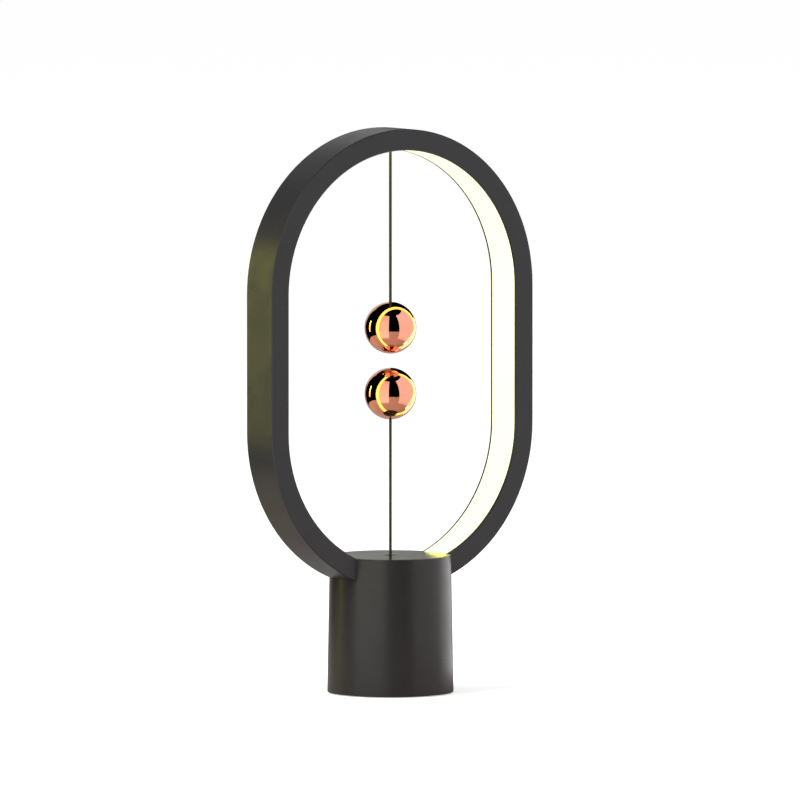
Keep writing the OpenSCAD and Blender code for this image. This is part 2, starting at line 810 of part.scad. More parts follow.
// A square guide tube under the deck, with ears for its screws and a wing that carries the switch.
module switch_bracket() {
    out = [bracket_in[0] + bracket_wall, bracket_in[1] + bracket_wall];
    bottom = bracket_floor - bracket_wall;
    wing_y = case_size[1] / 2 + fit;
    wing_end = case_holes[1] + wing_rim[0];
    color([0.9, 0.9, 0.88])
        difference() {
            union() {
                translate([-out[0], -out[1], bottom])
                    cube([2 * out[0], 2 * out[1], deck_z - fit - bottom]);
                translate([-out[0] + 1, -ear_y, deck_z - fit - ear_t])
                    cube([2 * (out[0] - 1), 2 * ear_y, ear_t]);
                translate([out[0] - 1, wing_y, case_hole_z - wing_rim[1]])
                    cube([wing_end - out[0] + 1, wing_t, deck_z - fit - case_hole_z + wing_rim[1]]);
            }
            translate([-bracket_in[0], -bracket_in[1], bracket_floor])
                cube([2 * bracket_in[0], 2 * bracket_in[1], far]);
            translate([0, -finger[1] / 2 - slip, finger_top - finger[2] - pull_travel - slip])
                cube([out[0] + 1, finger[1] + 2 * slip, finger[2] + pull_travel + 2 * slip]);
            bar(pocket[0], bottom - 1, bracket_floor + 1);
            for (side = [-1, 1])
                translate([0, side * bracket_screw_y, 0])
                    bar(m2_short[0] + hole_gap, deck_z - far / 2, deck_z + 1);
            for (x = case_holes)
                translate([x, 0, case_hole_z])
                    rotate([-90, 0, 0]) cylinder(h = far, r = m16[0] + fit);
        }
}

module bracket_screws() {
    color([0.6, 0.6, 0.62])
        for (side = [-1, 1])
            translate([0, side * bracket_screw_y, deck_z - fit - ear_t]) screw(m2_short);
}

module switch_case() {
    ear = [1.4, 0.6, 1.5];
    color([0.13, 0.14, 0.17])
        difference() {
            union() {
                translate([case_x, -case_size[1] / 2, case_z])
                    cube([case_size[0], case_size[1], case_size[2]]);
                for (side = [-1, 1])
                    translate([lever_pivot[0], side * (lever_w / 2 + slip + ear[1] / 2), case_z])
                        translate([-ear[0] / 2, -ear[1] / 2, -ear[2]]) cube([ear[0], ear[1], ear[2] + fit]);
            }
            translate([plunger_x, 0, 0]) bar(plunger_r + slip, case_z - 1, case_z + plunger_in + slip);
            translate([lever_pivot[0], 0, lever_pivot[1]])
                rotate([90, 0, 0]) cylinder(h = case_size[1], r = pin_r + fit, center = true);
            for (x = case_holes)
                translate([x, 0, case_hole_z])
                    rotate([90, 0, 0]) cylinder(h = far, r = m16[0] + hole_gap, center = true);
        }
}

// A thin blade with its hinge pin. The slider's finger lifts its free end.
module switch_lever() {
    color([0.78, 0.79, 0.8])
        translate([lever_pivot[0], 0, lever_pivot[1]]) {
            translate([-lever_arm, -lever_w / 2, -lever_t / 2]) cube([lever_arm, lever_w, lever_t]);
            rotate([90, 0, 0]) cylinder(h = lever_w + 2 * pin_out, r = pin_r, center = true);
        }
}

module switch_plunger() {
    bottom = lever_pivot[1] + lever_t / 2 + fit;
    color([0.75, 0.12, 0.1])
        translate([plunger_x, 0, 0]) {
            bar(plunger_r, bottom + plunger_r, case_z + plunger_in);
            translate([0, 0, bottom + plunger_r]) sphere(r = plunger_r);
        }
}

module switch_tags() {
    color([0.8, 0.78, 0.7])
        for (i = [-1:1])
            translate([case_mid + i * tag_pitch - tag_size[0] / 2, -tag_size[1] / 2, case_z + case_size[2]])
                cube([tag_size[0], tag_size[1], tag_h]);
}

module switch_screws() {
    color([0.6, 0.6, 0.62])
        for (x = case_holes)
            translate([x, -case_size[1] / 2, case_hole_z]) rotate([-90, 0, 0]) screw(m16);
}

// ---------- Power ----------

module main_board() {
    color([0.1, 0.35, 0.2])
        difference() {
            bar(board_r, board_z, board_top);
            for (p = posts)
                translate([p[0], p[1], 0]) bar(m2_board[0] + hole_gap, board_z - 1, board_top + 1);
        }
}

// The outline of a micro USB socket: flat on top, narrower underneath.
module socket_outline(inset = 0) {
    w = socket_size[0] / 2 - inset;
    h = socket_size[2] / 2 - inset;
    polygon([[-w, h], [w, h], [w, 0], [w - 0.9, -h], [-w + 0.9, -h], [-w, 0]]);
}

module usb_socket() {
    wall = 0.3;
    color([0.75, 0.76, 0.78])
        translate([0, socket_y, board_top + fit + socket_size[2] / 2])
            rotate([90, 0, 0])
                difference() {
                    linear_extrude(height = socket_size[1]) socket_outline();
                    translate([0, 0, -1]) linear_extrude(height = socket_size[1]) socket_outline(wall);
                }
}

// The tongue inside the socket, with its contacts.
module usb_contacts() {
    color([0.12, 0.12, 0.12])
        translate([-contact_bar[0] / 2, socket_y - socket_size[1] + 1 + fit, port_z + 0.1])
            cube([contact_bar[0], socket_size[1] - 2, contact_bar[1]]);
}

module on_board(at) {
    translate([at[0], at[1], board_top + fit]) children();
}

module driver_chip() {
    color([0.12, 0.12, 0.13])
        on_board(chip_at - [chip[0], chip[1]] / 2) cube(chip);
    color([0.75, 0.75, 0.75])
        for (i = [0:3], side = [0, 1])
            on_board(chip_at + [(i - 1.5) * chip_pitch, 0])
                mirror([0, side, 0])
                    translate([-chip_pin[0] / 2, chip[1] / 2, 0]) cube(chip_pin);
}

module power_inductor() {
    color([0.25, 0.25, 0.27])
        on_board(inductor_at) {
            translate([0, 0, inductor[1] / 2]) cube([inductor[0], inductor[0], inductor[1]], center = true);
            cylinder(h = inductor[3], r = inductor[2]);
        }
}

module capacitors() {
    color([0.3, 0.32, 0.38])
        for (at = cans_at)
            on_board(at) {
                translate([0, 0, can[1] / 2]) cube([can[0], can[0], can[1]], center = true);
                cylinder(h = can[3], r = can[2]);
            }
}

module board_resistors() {
    color([0.2, 0.2, 0.22])
        for (i = [0:3])
            on_board(resistors_at + [resistor_pitch * i, 0]) cube(chip_resistor);
}

module wire_plugs() {
    color([0.92, 0.9, 0.84])
        for (p = [led_plug, switch_plug])
            translate([p[0] - plug_size[0] / 2, p[1] - plug_size[1] / 2, board_top + fit])
                cube([plug_size[0], plug_size[1], plug_size[2] - 2 * fit]);
}

module led_wire(side) {
    wire([for (p = led_route) p + [0, side * wire_gap, 0]], wire_r);
}

module switch_wire(i) {
    wire(switch_route(i), wire_r, [1, 0, 0]);
}

module board_screws() {
    color([0.6, 0.6, 0.62])
        for (p = posts)
            translate([p[0], p[1], board_top]) rotate([180, 0, 0]) screw(m2_board);
}

// ---------- Foot ----------

module steel_weight() {
    color([0.45, 0.46, 0.48])
        difference() {
            bar(weight_r, floor_z + fit, floor_z + fit + weight_t);
            for (p = posts)
                translate([p[0], p[1], 0]) bar(post_r + hole_gap, 0, far);
            for (p = weight_screws)
                translate([p[0], p[1], 0]) {
                    bar(m3[0] + hole_gap, 0, far);
                    bar(m3[2] + hole_gap, weight_seat, far);
                }
            for (a = cover_screw_a)
                rotate([0, 0, a])
                    translate([cover_screw_r, 0, 0]) bar(cover_boss[0] + hole_gap, 0, far);
        }
}

module weight_screws() {
    color([0.6, 0.6, 0.62])
        for (p = weight_screws)
            translate([p[0], p[1], weight_seat]) rotate([180, 0, 0]) screw(m3);
}

module bottom_cover() {
    color([0.13, 0.13, 0.13])
        difference() {
            union() {
                bar(cover_r, pad_proud, floor_z);
                for (p = posts)
                    translate([p[0], p[1], 0]) bar(post_r, floor_z - fit, board_z - fit);
            }
            tube(pad_r[1] + slip, pad_r[0] - slip, 0, pad_t + fit);
            for (p = posts)
                translate([p[0], p[1], board_top]) bar(m2_board[0] + fit, -m2_board[1] - hole_gap, 0);
            for (p = weight_screws)
                translate([p[0], p[1], 0]) bar(m3[0] + fit, weight_seat - m3[1] - hole_gap, floor_z + 1);
            for (a = cover_screw_a)
                rotate([0, 0, a])
                    translate([cover_screw_r, 0, 0]) {
                        bar(m25[0] + hole_gap, 0, far);
                        bar(m25[2] + hole_gap, 0, pad_t + fit + m25[3] + fit);
                    }
        }
}

module cover_screws() {
    color([0.6, 0.6, 0.62])
        for (a = cover_screw_a)
            rotate([0, 0, a])
                translate([cover_screw_r, 0, pad_t + fit + m25[3]]) screw(m25);
}

module foot_pad() {
    color([0.1, 0.1, 0.1])
        tube(pad_r[1], pad_r[0], 0, pad_t);
}

frame_shell();
frame_back_cover();
light_diffuser();
led_strip();
led_chips();
led_resistors();
cord_anchor();
upper_eyelet();
upper_cord_stub();
cord_bend(high_pivot);  // upper_cord_bend
upper_cord();
in_upper_ball() cord_half();  // upper_ball_cord_half
in_upper_ball() magnet_half();  // upper_ball_magnet_half
in_upper_ball() knot_washer();  // upper_ball_washer
in_upper_ball() disc_magnet();  // upper_magnet
in_upper_ball() magnet_cup();  // upper_magnet_cup
cord_bend(low_pivot);  // lower_cord_bend
lower_cord();
in_lower_ball() cord_half();  // lower_ball_cord_half
in_lower_ball() magnet_half();  // lower_ball_magnet_half
in_lower_ball() knot_washer();  // lower_ball_washer
in_lower_ball() disc_magnet();  // lower_magnet
in_lower_ball() magnet_cup();  // lower_magnet_cup
base_housing();
base_cap();
lower_eyelet();
frame_screws();
cap_screws();
pull_slider();
lower_cord_tail();
return_spring();
switch_bracket();
bracket_screws();
switch_case();
switch_lever();
switch_plunger();
switch_tags();
switch_screws();
main_board();
usb_socket();
usb_contacts();
driver_chip();
power_inductor();
capacitors();
board_resistors();
wire_plugs();
color([0.7, 0.1, 0.1]) led_wire(1);  // led_wire_plus
color([0.08, 0.08, 0.08]) led_wire(-1);  // led_wire_minus
color([0.9, 0.9, 0.88]) switch_wire(0);  // switch_wire_in
color([0.9, 0.9, 0.88]) switch_wire(1);  // switch_wire_out
board_screws();
steel_weight();
weight_screws();
bottom_cover();
cover_screws();
foot_pad();
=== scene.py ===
"""The looks of a magnetic balance lamp: an oval light ring on a base, and two copper balls on cords."""
import math

import bpy
import numpy as np
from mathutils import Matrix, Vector


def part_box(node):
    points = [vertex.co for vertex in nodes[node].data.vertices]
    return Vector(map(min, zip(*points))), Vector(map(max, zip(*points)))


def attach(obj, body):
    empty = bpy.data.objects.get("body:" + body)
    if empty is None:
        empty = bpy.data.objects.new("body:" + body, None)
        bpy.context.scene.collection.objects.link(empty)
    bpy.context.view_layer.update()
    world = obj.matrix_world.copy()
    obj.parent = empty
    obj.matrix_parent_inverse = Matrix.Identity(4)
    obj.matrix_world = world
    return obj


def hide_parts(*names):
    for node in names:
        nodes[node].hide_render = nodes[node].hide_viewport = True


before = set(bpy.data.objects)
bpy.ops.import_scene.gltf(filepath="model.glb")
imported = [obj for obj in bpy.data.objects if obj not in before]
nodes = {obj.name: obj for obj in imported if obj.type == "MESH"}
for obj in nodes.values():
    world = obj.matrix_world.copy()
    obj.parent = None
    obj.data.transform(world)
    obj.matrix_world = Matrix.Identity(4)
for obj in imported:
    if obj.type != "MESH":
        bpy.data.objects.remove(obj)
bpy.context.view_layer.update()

# ---------- Sizes, in metres, from the frame ----------

shell_low, shell_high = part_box("frame_shell")
RING_OUT = shell_high.x                          # outer radius of the ring's half circles
RING_T = 0.009                                   # thickness of the ring, seen from the front
RING_IN = RING_OUT - RING_T
HALF_D = shell_high.y                            # half of the ring's depth
LOW_Z = shell_low.z + RING_OUT                   # heights of the two half circles' centres
HIGH_Z = shell_high.z - RING_OUT
BASE_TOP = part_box("base_housing")[1].z
ball_low, ball_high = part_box("upper_ball_magnet_half")
BALL_R = ball_high.x
HIGH_BALL_Z = ball_low.z + BALL_R
LOW_BALL_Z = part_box("lower_ball_magnet_half")[1].z - BALL_R
HIGH_PIVOT = sum(corner.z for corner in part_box("upper_cord_bend")) / 2
LOW_PIVOT = sum(corner.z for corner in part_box("lower_cord_bend")) / 2
CORD_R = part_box("upper_cord_bend")[1].x
LIP = 0.0012                                     # walls of the ring's mouldings, beside the strip
FLOOR_GAP = 0.0001                               # from the foot pad to the floor
FLOOR_CARD_Z = 0.0004                            # how high a card lies on the floor
FLOOR_R = 8.5                                    # the floor is round
FLOOR_HOLE_R = 0.02                              # its middle is open, hidden under the base
GLOW_GAP = 0.0002                                # from the strip's face to the card that is its light

# The photograph is seen from the front, turned to the left of the lamp and a little from above.
CAMERA_AZIMUTH = math.radians(35.835)
CAMERA_ELEVATION = math.radians(4.322)
CAMERA_DISTANCE = 8.0
FRAME_WIDTH = 0.3392                             # what the picture's width covers at the lamp
MIDDLE_Z = 0.12                                  # half of the lamp's height
LOOK_AT = (0.00407, 0.00446)                     # right of the axis and above its middle, in the picture
SENSOR_WIDTH = 36                                # of the camera, in millimetres


# ---------- Meshes ----------

WELD_PLACES = 1e7                                # places per metre that weld tells apart
SIDE_POINTS = 41                                 # of the ring's path, from its foot to its straight side
TOP_POINTS = 73                                  # of the ring's path, over its top


def weld(points, quads):
    """Joins points that lie in the same place, to a ten-thousandth of a millimetre, and drops the
    sides of faces that have no length, so that seams close and poles become triangles."""
    keys = np.round(points * WELD_PLACES).astype(np.int64)
    _, first, index = np.unique(keys, axis=0, return_index=True, return_inverse=True)
    quads = index.reshape(-1)[quads]
    same = quads == np.roll(quads, -1, axis=1)
    whole = quads[~same.any(axis=1)]
    one_short = quads[same.sum(axis=1) == 1]
    thirds = one_short[~same[same.sum(axis=1) == 1]].reshape(-1, 3)
    return points[first], whole.tolist() + thirds.tolist()


def grid_faces(rows, columns, start=0):
    """The quads between neighbours on a grid of points that is stored row by row."""
    index = np.arange(rows * columns).reshape(rows, columns) + start
    corners = [index[:-1, :-1], index[1:, :-1], index[1:, 1:], index[:-1, 1:]]
    return np.stack(corners, axis=-1).reshape(-1, 4)


def add_piece(name, grids, body, stands_for, sharp_angle=35, flip=False):
    """One piece from surfaces that are grids of points, rows by columns by three, in place of the CAD
    nodes that it stands for. Seams are welded, and edges that turn by more than sharp_angle degrees
    stay sharp. The faces turn round when flip is set."""
    points, quads, count = [], [], 0
    for grid in grids:
        rows, columns = grid.shape[:2]
        quads.append(grid_faces(rows, columns, count))
        points.append(grid.reshape(-1, 3))
        count += rows * columns
    quads = np.concatenate(quads)
    if flip:
        quads = quads[:, ::-1]
    places, faces = weld(np.concatenate(points), quads)
    mesh = bpy.data.meshes.new(name)
    mesh.from_pydata(places.tolist(), [], faces)
    mesh.shade_smooth()
    mesh.set_sharp_from_angle(angle=math.radians(sharp_angle))
    piece = bpy.data.objects.new(name, mesh)
    bpy.context.scene.collection.objects.link(piece)
    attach(piece, body)
    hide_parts(*stands_for)
    return piece


def ring_path(radius, foot):
    """Points x and z along the ring at one radius, from its right foot over the top to its left foot:
    two half circles and the straight sides between them. The foot is its angle from the lowest
    point, in radians."""
    low = np.linspace(foot - np.pi / 2, 0, SIDE_POINTS)
    high = np.linspace(0, np.pi, TOP_POINTS)
    right = np.stack([radius * np.cos(low), LOW_Z + radius * np.sin(low)], axis=-1)
    top = np.stack([radius * np.cos(high), HIGH_Z + radius * np.sin(high)], axis=-1)
    return np.concatenate([right, top, right[::-1] * [-1, 1]])


def turned(profile, steps, z=0.0, upside_down=False):
    """A surface of revolution: each point of the profile, radius and height, is carried once round
    the Z axis, and the whole is lifted to height z. The last column lies exactly on the first."""
    angle = np.linspace(0, 2 * np.pi, steps + 1)
    angle[-1] = 0
    radius, height = np.asarray(profile, float).T
    if upside_down:
        height = -height
    return np.stack([radius[:, None] * np.cos(angle), radius[:, None] * np.sin(angle),
                     np.repeat(height[:, None], steps + 1, axis=1) + z], axis=-1)


def arc(centre, radius, start, end, steps):
    """Points on a circle from one angle to another, in degrees, anticlockwise from the first axis."""
    angle = np.radians(np.linspace(start, end, steps + 1))
    return np.stack([centre[0] + radius * np.cos(angle), centre[1] + radius * np.sin(angle)], axis=-1)


# ---------- The balls ----------

BALL_WALL = 0.001                                # thickness of the half shells
HOLE_R = 0.00075                                 # the hole for the cord
RIM_R = 0.0004                                   # rounding of the hole's edge
SEAM = 0.000025                                  # bevel of the two halves where they meet
OUTER_STEPS = 72                                 # along a half's outer profile
INNER_STEPS = 40                                 # along its inner profile
RIM_STEPS = 8                                    # along the rounding of the hole
BALL_TURN_STEPS = 160                            # once round


def ball_half(cord_side):
    """Profile of half a hollow ball: a quarter circle from its outer seam to the pole, and a smaller
    one back to its inner seam. The half that the cord enters has a hole at its pole, whose edge is
    rounded by an arc that touches the outer circle from within."""
    inner_r = BALL_R - BALL_WALL
    seam = [[BALL_R - SEAM, 0]]
    outer_end, inner_start, edge = 90, 90, np.empty((0, 2))
    if cord_side:
        rim = (HOLE_R + RIM_R, math.sqrt((BALL_R - RIM_R) ** 2 - (HOLE_R + RIM_R) ** 2))
        outer_end = math.degrees(math.atan2(rim[1], rim[0]))
        inner_start = math.degrees(math.acos(HOLE_R / inner_r))
        edge = arc(rim, RIM_R, outer_end, 180, RIM_STEPS)
    outer = arc((0, 0), BALL_R, math.degrees(SEAM / BALL_R), outer_end, OUTER_STEPS)
    inner = arc((0, 0), inner_r, inner_start, 0, INNER_STEPS)
    return np.concatenate([seam, outer, edge, inner, seam])


def make_balls():
    """The four spun halves, with the cord's hole facing away from the other ball."""
    made = []
    for name, z, lower in (("upper", HIGH_BALL_Z, False), ("lower", LOW_BALL_Z, True)):
        for half, cord_side in (("cord", True), ("magnet", False)):
            grid = turned(ball_half(cord_side), BALL_TURN_STEPS, z, upside_down=cord_side == lower)
            node = f"{name}_ball_{half}_half"
            made.append(add_piece(f"{node}_shell", [grid], f"{name}_ball", [node],
                                  flip=cord_side != lower))
    return made


# ---------- Cords ----------

STRANDS = 8                                      # in each of the braid's two directions
BRAID_PITCH = 0.0046                             # one strand's way round the cord
BRAID_DEEP = 0.00009                             # how far the strands stand out
STRAND_TAPER = 1.9                               # from strand to strand, over half the width of one
ROUND_SHARE = 0.62                               # of the relief, from a strand's round back
WEAVE_SHARE = 0.38                               # of the relief, from going over and under
CORD_SIDES = 64                                  # points round the cord
CORD_STEP = 0.00011                              # from one ring of points to the next
BEND_STEPS = 24                                  # from pole to pole of the ball in the fold
BEND_TURN_STEPS = 48                             # once round it


def braid(low, high, knot_z, knot_r):
    """A plain-woven braid on a straight cord with a knot at one end. Two sets of strands wind round
    it in opposite directions. Across a strand the surface is half an ellipse, along it the strand
    rises and falls once for every two strands that it crosses, and the surface is the higher of the
    two sets. The knot is a ball under the same braid, and beyond its middle there is no more cord."""
    angle = np.linspace(0, 2 * np.pi, CORD_SIDES + 1)[None, :]
    z = np.linspace(low, high, int((high - low) / CORD_STEP))[:, None]
    turn = STRANDS * angle / (2 * np.pi)
    climb = STRANDS * z / BRAID_PITCH
    rising, falling = turn + climb, turn - climb

    def height(across, along, sign):
        """The height of one set of strands, as a share of the relief."""
        strand = np.round(across)
        hump = np.sqrt(np.clip(1 - (STRAND_TAPER * (across - strand)) ** 2, 0, 1))
        return ROUND_SHARE * hump + WEAVE_SHARE * sign * np.cos(np.pi * (along + strand))

    top = np.maximum(height(rising, falling, 1), height(falling, rising, -1))
    ball = np.sqrt(np.clip(knot_r ** 2 - (z - knot_z) ** 2, 0, None))
    beyond = (z > knot_z) if high - knot_z < knot_z - low else (z < knot_z)
    core = np.where(beyond, ball, np.maximum(ball, CORD_R))
    radius = np.clip(core - BRAID_DEEP * (1 - np.clip(top, 0, 1)), 0, None)
    angle = np.where(np.arange(CORD_SIDES + 1) == CORD_SIDES, 0, angle)
    return np.stack([radius * np.cos(angle), radius * np.sin(angle), np.repeat(z, CORD_SIDES + 1, 1)],
                    axis=-1)


def make_cord(node, body, pivot):
    """The braided cord that stands for a CAD cord: from the knot at its far end to the pivot on which
    it leans, where its end is closed."""
    node_low, node_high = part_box(node)
    knot_r = node_high.x
    leans_at_top = abs(node_high.z - pivot) < abs(node_low.z - pivot)
    low, high = (node_low.z, pivot) if leans_at_top else (pivot, node_high.z)
    knot_z = low + knot_r if leans_at_top else high - knot_r
    side = braid(low, high, knot_z, knot_r)
    caps = [np.stack([side[0] * [0, 0, 1], side[0]]), np.stack([side[-1], side[-1] * [0, 0, 1]])]
    return add_piece(f"{node}_braid", [side] + caps, body, [node], sharp_angle=80, flip=True)


def make_bend(name, pivot):
    """The core of the cord where it bends: a ball that fills the fold between its two stretches."""
    profile = arc((0, 0), CORD_R - BRAID_DEEP, -90, 90, BEND_STEPS)
    profile[[0, -1], 0] = 0
    return add_piece(f"{name}_cord_core", [turned(profile, BEND_TURN_STEPS, pivot)], f"{name}_bend",
                     [f"{name}_cord_bend"], flip=True)


def make_cords():
    """Both cords, each in three pieces: the stretch that swings with its ball, the end that stays
    behind in the ring or on the slider, and the core of the bend between them."""
    upper = make_cord("upper_cord", "upper_ball", HIGH_PIVOT)
    lower = make_cord("lower_cord", "lower_ball", LOW_PIVOT)
    return [upper, lower, make_cord("upper_cord_stub", "root", HIGH_PIVOT),
            make_cord("lower_cord_tail", "slider", LOW_PIVOT),
            make_bend("upper", HIGH_PIVOT), make_bend("lower", LOW_PIVOT)]


# ---------- Materials ----------

NOISE_LOW, NOISE_HIGH = 0.3, 0.7                 # between which most of the noise lies
NOISE_ROUGHNESS = 0.55                           # how strong its finer waves are


def shader_of(material):
    """The principled shader of a material."""
    return material.node_tree.nodes["Principled BSDF"]


def principled(name, colour, roughness, **sockets):
    """A material with one principled shader. Values that are the same all over sit on its sockets."""
    material = bpy.data.materials.new(name)
    material.use_nodes = True
    shader = shader_of(material)
    shader.inputs["Base Color"].default_value = (*colour, 1)
    shader.inputs["Roughness"].default_value = roughness
    for socket, value in sockets.items():
        shader.inputs[socket.replace("_", " ")].default_value = value
    return material


def node_of(material, kind, **values):
    """A new node of a material, or of the world, with the given socket values or settings."""
    node = material.node_tree.nodes.new(kind)
    for key, value in values.items():
        if key in node.inputs:
            node.inputs[key].default_value = value
        else:
            setattr(node, key, value)
    return node


def link(material, source, target):
    """Joins the output of one node to the input of another."""
    material.node_tree.links.new(source, target)


def map_range(material, start, end):
    """A node that carries the values of one range over to another, in proportion."""
    span = node_of(material, "ShaderNodeMapRange")
    span.inputs["From Min"].default_value, span.inputs["From Max"].default_value = start
    span.inputs["To Min"].default_value, span.inputs["To Max"].default_value = end
    return span


def noise_on_object(material, scale, detail=3.0, stretch=(1, 1, 1)):
    """Noise that is fixed to the piece. The scale is in waves per metre."""
    place = node_of(material, "ShaderNodeTexCoord")
    mapping = node_of(material, "ShaderNodeMapping", Scale=stretch)
    noise = node_of(material, "ShaderNodeTexNoise", Scale=scale, Detail=detail, Roughness=NOISE_ROUGHNESS)
    link(material, place.outputs["Object"], mapping.inputs["Vector"])
    link(material, mapping.outputs["Vector"], noise.inputs["Vector"])
    return noise


def grain(material, scale, depth, stretch=(1, 1, 1)):
    """Fine relief of the surface, `depth` metres deep, from noise."""
    noise = noise_on_object(material, scale, detail=2.0, stretch=stretch)
    bump = node_of(material, "ShaderNodeBump", Strength=1.0, Distance=depth)
    link(material, noise.outputs["Fac"], bump.inputs["Height"])
    link(material, bump.outputs["Normal"], shader_of(material).inputs["Normal"])
    return material


def mottle(material, scale, dark, light):
    """The base colour wanders between two shades over the surface."""
    noise = noise_on_object(material, scale)
    ramp = node_of(material, "ShaderNodeValToRGB")
    low_end, high_end = ramp.color_ramp.elements
    low_end.position, low_end.color = NOISE_LOW, (*dark, 1)
    high_end.position, high_end.color = NOISE_HIGH, (*light, 1)
    link(material, noise.outputs["Fac"], ramp.inputs["Fac"])
    link(material, ramp.outputs["Color"], shader_of(material).inputs["Base Color"])
    return material


def rub(material, scale, smooth, rough):
    """The roughness wanders between two values, as on a handled surface."""
    noise = noise_on_object(material, scale)
    span = map_range(material, (NOISE_LOW, NOISE_HIGH), (smooth, rough))
    link(material, noise.outputs["Fac"], span.inputs["Value"])
    link(material, span.outputs["Result"], shader_of(material).inputs["Roughness"])
    return material


def shade(colour, factor):
    """A darker or lighter shade of a colour: each of its three parts times the factor."""
    return tuple(factor * part for part in colour)


def satin_plastic(name, colour, roughness=0.4, depth=0.0000006, shine=0.5):
    """Moulded plastic with a fine spark-eroded texture, a little uneven in shade and gloss."""
    material = principled(name, colour, roughness, Specular_IOR_Level=shine)
    mottle(material, 60, shade(colour, 0.94), shade(colour, 1.06))
    rub(material, 90, roughness - 0.03, roughness + 0.04)
    return grain(material, 1100, depth)


def bare_metal(name, colour, roughness=0.28):
    """Machined or plated metal with fine scratches along Z."""
    material = principled(name, colour, roughness, Metallic=1.0)
    mottle(material, 250, shade(colour, 0.9), colour)
    rub(material, 400, roughness - 0.06, roughness + 0.08)
    return grain(material, 2600, 0.000002, stretch=(1, 1, 0.08))


def copper_plate():
    """Polished copper plating: a mirror with hardly any haze."""
    material = principled("copper_plate", (0.95, 0.42, 0.27), 0.03, Metallic=1.0)
    rub(material, 160, 0.022, 0.045)
    return mottle(material, 120, (0.94, 0.405, 0.258), (0.96, 0.43, 0.28))


def glowing_strip():
    """Opal plastic lit from behind: it glows an even, warm yellow."""
    material = principled("opal_plastic", (0.5, 0.5, 0.3), 0.45)
    shader = shader_of(material)
    shader.inputs["Emission Color"].default_value = (1.0, 1.0, 0.64, 1)
    shader.inputs["Emission Strength"].default_value = 0.9
    return grain(material, 4000, 0.000003)


def braided_cord():
    """Olive polyester yarn, with its fibres as a fine grain drawn out along the cord."""
    material = principled("cord_braid", (0.03, 0.03, 0.015), 0.6, Sheen_Weight=0.08,
                          Specular_IOR_Level=0.3)
    mottle(material, 2500, (0.02, 0.02, 0.01), (0.04, 0.04, 0.02))
    return grain(material, 9000, 0.00001, stretch=(1, 1, 0.4))


def dress(material, *names):
    """Gives the CAD nodes of these names their material."""
    for name in names:
        for slot in nodes[name].material_slots:
            slot.material = material


def paint(material, pieces):
    """Gives new pieces their material."""
    for piece in pieces:
        piece.data.materials.append(material)


# ---------- Camera, floor and light ----------

CARD_COLUMNS = 41                                # points along a card
CARD_ROWS = 9                                    # points up a standing card
FLAT_CARD_ROWS = 3                               # points across a level card
FLOOR_SIDES = 96                                 # of the round floor
FLOOR_COLOUR = (0.86, 0.86, 0.86)
FLOOR_GLOW = 0.55                                # added for the camera alone, up to white
MIRRORED_FLOOR = (0.42, 0.34, 0.325)             # the floor's colour in reflections


def seen_from_camera(azimuth, elevation, radius):
    """A point on a sphere round the lamp's foot. The azimuth counts from the camera to its right, the
    elevation from the floor, both in degrees."""
    turn = math.radians(azimuth) - CAMERA_AZIMUTH
    rise = math.radians(elevation)
    level = math.cos(rise)
    return Vector((math.sin(turn) * level, -math.cos(turn) * level, math.sin(rise))) * radius


def around_lamp(turn, radius, z):
    """A grid of points on circles round the lamp's axis: x and -y are the sine and the cosine of the
    turn, times the radius. The turn counts from the camera to its right, in radians."""
    angle = turn - CAMERA_AZIMUTH
    return np.stack(np.broadcast_arrays(np.sin(angle) * radius, -np.cos(angle) * radius, z), axis=-1)


def make_camera():
    """The photograph's camera, far away with a long lens. The lens is to the distance as the sensor's
    width is to the width that the picture covers at the lamp."""
    right = Vector((math.cos(CAMERA_AZIMUTH), -math.sin(CAMERA_AZIMUTH), 0))
    back = seen_from_camera(0, math.degrees(CAMERA_ELEVATION), 1)
    up = back.cross(right)
    target = right * LOOK_AT[0] + up * LOOK_AT[1] + Vector((0, 0, MIDDLE_Z))
    data = bpy.data.cameras.new("camera")
    data.sensor_width = SENSOR_WIDTH
    data.lens = SENSOR_WIDTH * CAMERA_DISTANCE / FRAME_WIDTH
    data.clip_start, data.clip_end = 0.1, 100
    camera = bpy.data.objects.new("camera", data)
    bpy.context.scene.collection.objects.link(camera)
    camera.location = target + back * CAMERA_DISTANCE
    camera.rotation_mode = "QUATERNION"
    camera.rotation_quaternion = back.to_track_quat("Z", "Y")
    bpy.context.scene.camera = camera


def emission_material(name, colour, strength):
    """A material that gives light and reflects none."""
    material = bpy.data.materials.new(name)
    material.use_nodes = True
    material.node_tree.nodes.clear()
    light = node_of(material, "ShaderNodeEmission", Color=(*colour, 1), Strength=strength)
    out = node_of(material, "ShaderNodeOutputMaterial")
    link(material, light.outputs["Emission"], out.inputs["Surface"])
    return material


def one_sided(material, shader):
    """Lets a stage material show its front only. Its back is clear."""
    side = node_of(material, "ShaderNodeNewGeometry")
    clear = node_of(material, "ShaderNodeBsdfTransparent")
    front = node_of(material, "ShaderNodeMixShader")
    out = material.node_tree.nodes["Material Output"]
    link(material, side.outputs["Backfacing"], front.inputs[0])
    link(material, shader, front.inputs[1])
    link(material, clear.outputs["BSDF"], front.inputs[2])
    link(material, front.outputs["Shader"], out.inputs["Surface"])


def glossy_only(piece):
    """Keeps a card out of the camera's sight and out of the diffuse light and the shadows."""
    piece.visible_camera = False
    piece.visible_diffuse = False
    piece.visible_shadow = False
    piece.visible_transmission = False
    piece.visible_volume_scatter = False


